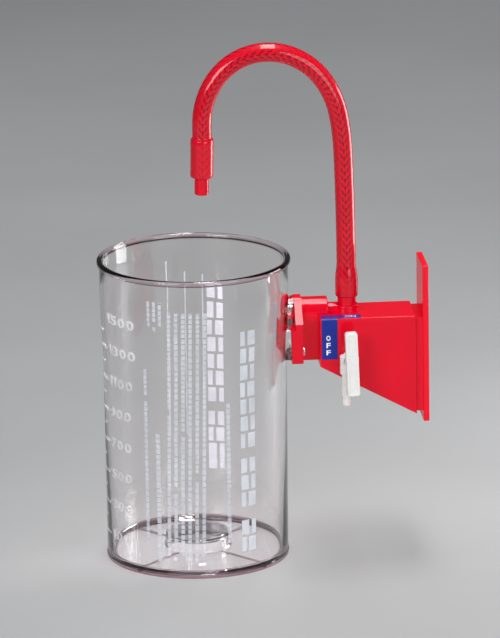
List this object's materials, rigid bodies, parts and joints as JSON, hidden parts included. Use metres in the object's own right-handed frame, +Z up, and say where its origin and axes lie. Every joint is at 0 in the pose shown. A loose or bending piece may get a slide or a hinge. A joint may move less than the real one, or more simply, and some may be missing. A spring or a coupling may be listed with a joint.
{
  "type": "suction canister",
  "caption": "Wall-mounted medical suction canister: clear graduated jar, moulded bracket with a vacuum stopcock, and a braided hose that plugs into the liner lid.",
  "frame": {"origin": "centre of the canister's base, on the surface it stands on", "axes": "+Z up along the canister's axis, +X from the canister to the wall bracket, the valve lever faces -Y"},
  "size_m": [0.2076, 0.122, 0.3305],
  "materials": {
    "clear_plastic": "clear, polished",
    "red_plastic": "semi-gloss moulded",
    "hose_pvc": "clear red PVC over braid",
    "white_plastic": "satin moulded",
    "blue_label": "printed film",
    "seal_rubber": "matte",
    "screw_steel": "bright"
  },
  "bodies": {
    "canister_and_bracket": {"canister": "clear_plastic", "port_seal": "seal_rubber", "bracket_housing": "red_plastic", "rear_cover": "red_plastic", "cover_screws": "screw_steel", "lug_screws": "screw_steel", "hose_fitting": "red_plastic", "vacuum_hose": "hose_pvc", "hose_connector": "red_plastic", "valve_body": "white_plastic", "plug_clip": "screw_steel", "valve_gasket": "seal_rubber", "valve_nut": "white_plastic", "duct_elbow": "white_plastic", "nose_seal": "seal_rubber", "boss_seal": "seal_rubber", "valve_label": "blue_label"},
    "lever": {"valve_handle": "white_plastic", "plug_seal_front": "seal_rubber", "plug_seal_rear": "seal_rubber"}
  },
  "joints": [
    {"name": "valve_turn", "type": "hinge", "parent": "canister_and_bracket", "child": "lever", "pos_m": [0.0965, -0.029, 0.129], "axis": [0, -1, 0], "range_deg": [-2, 88]}
  ]
}
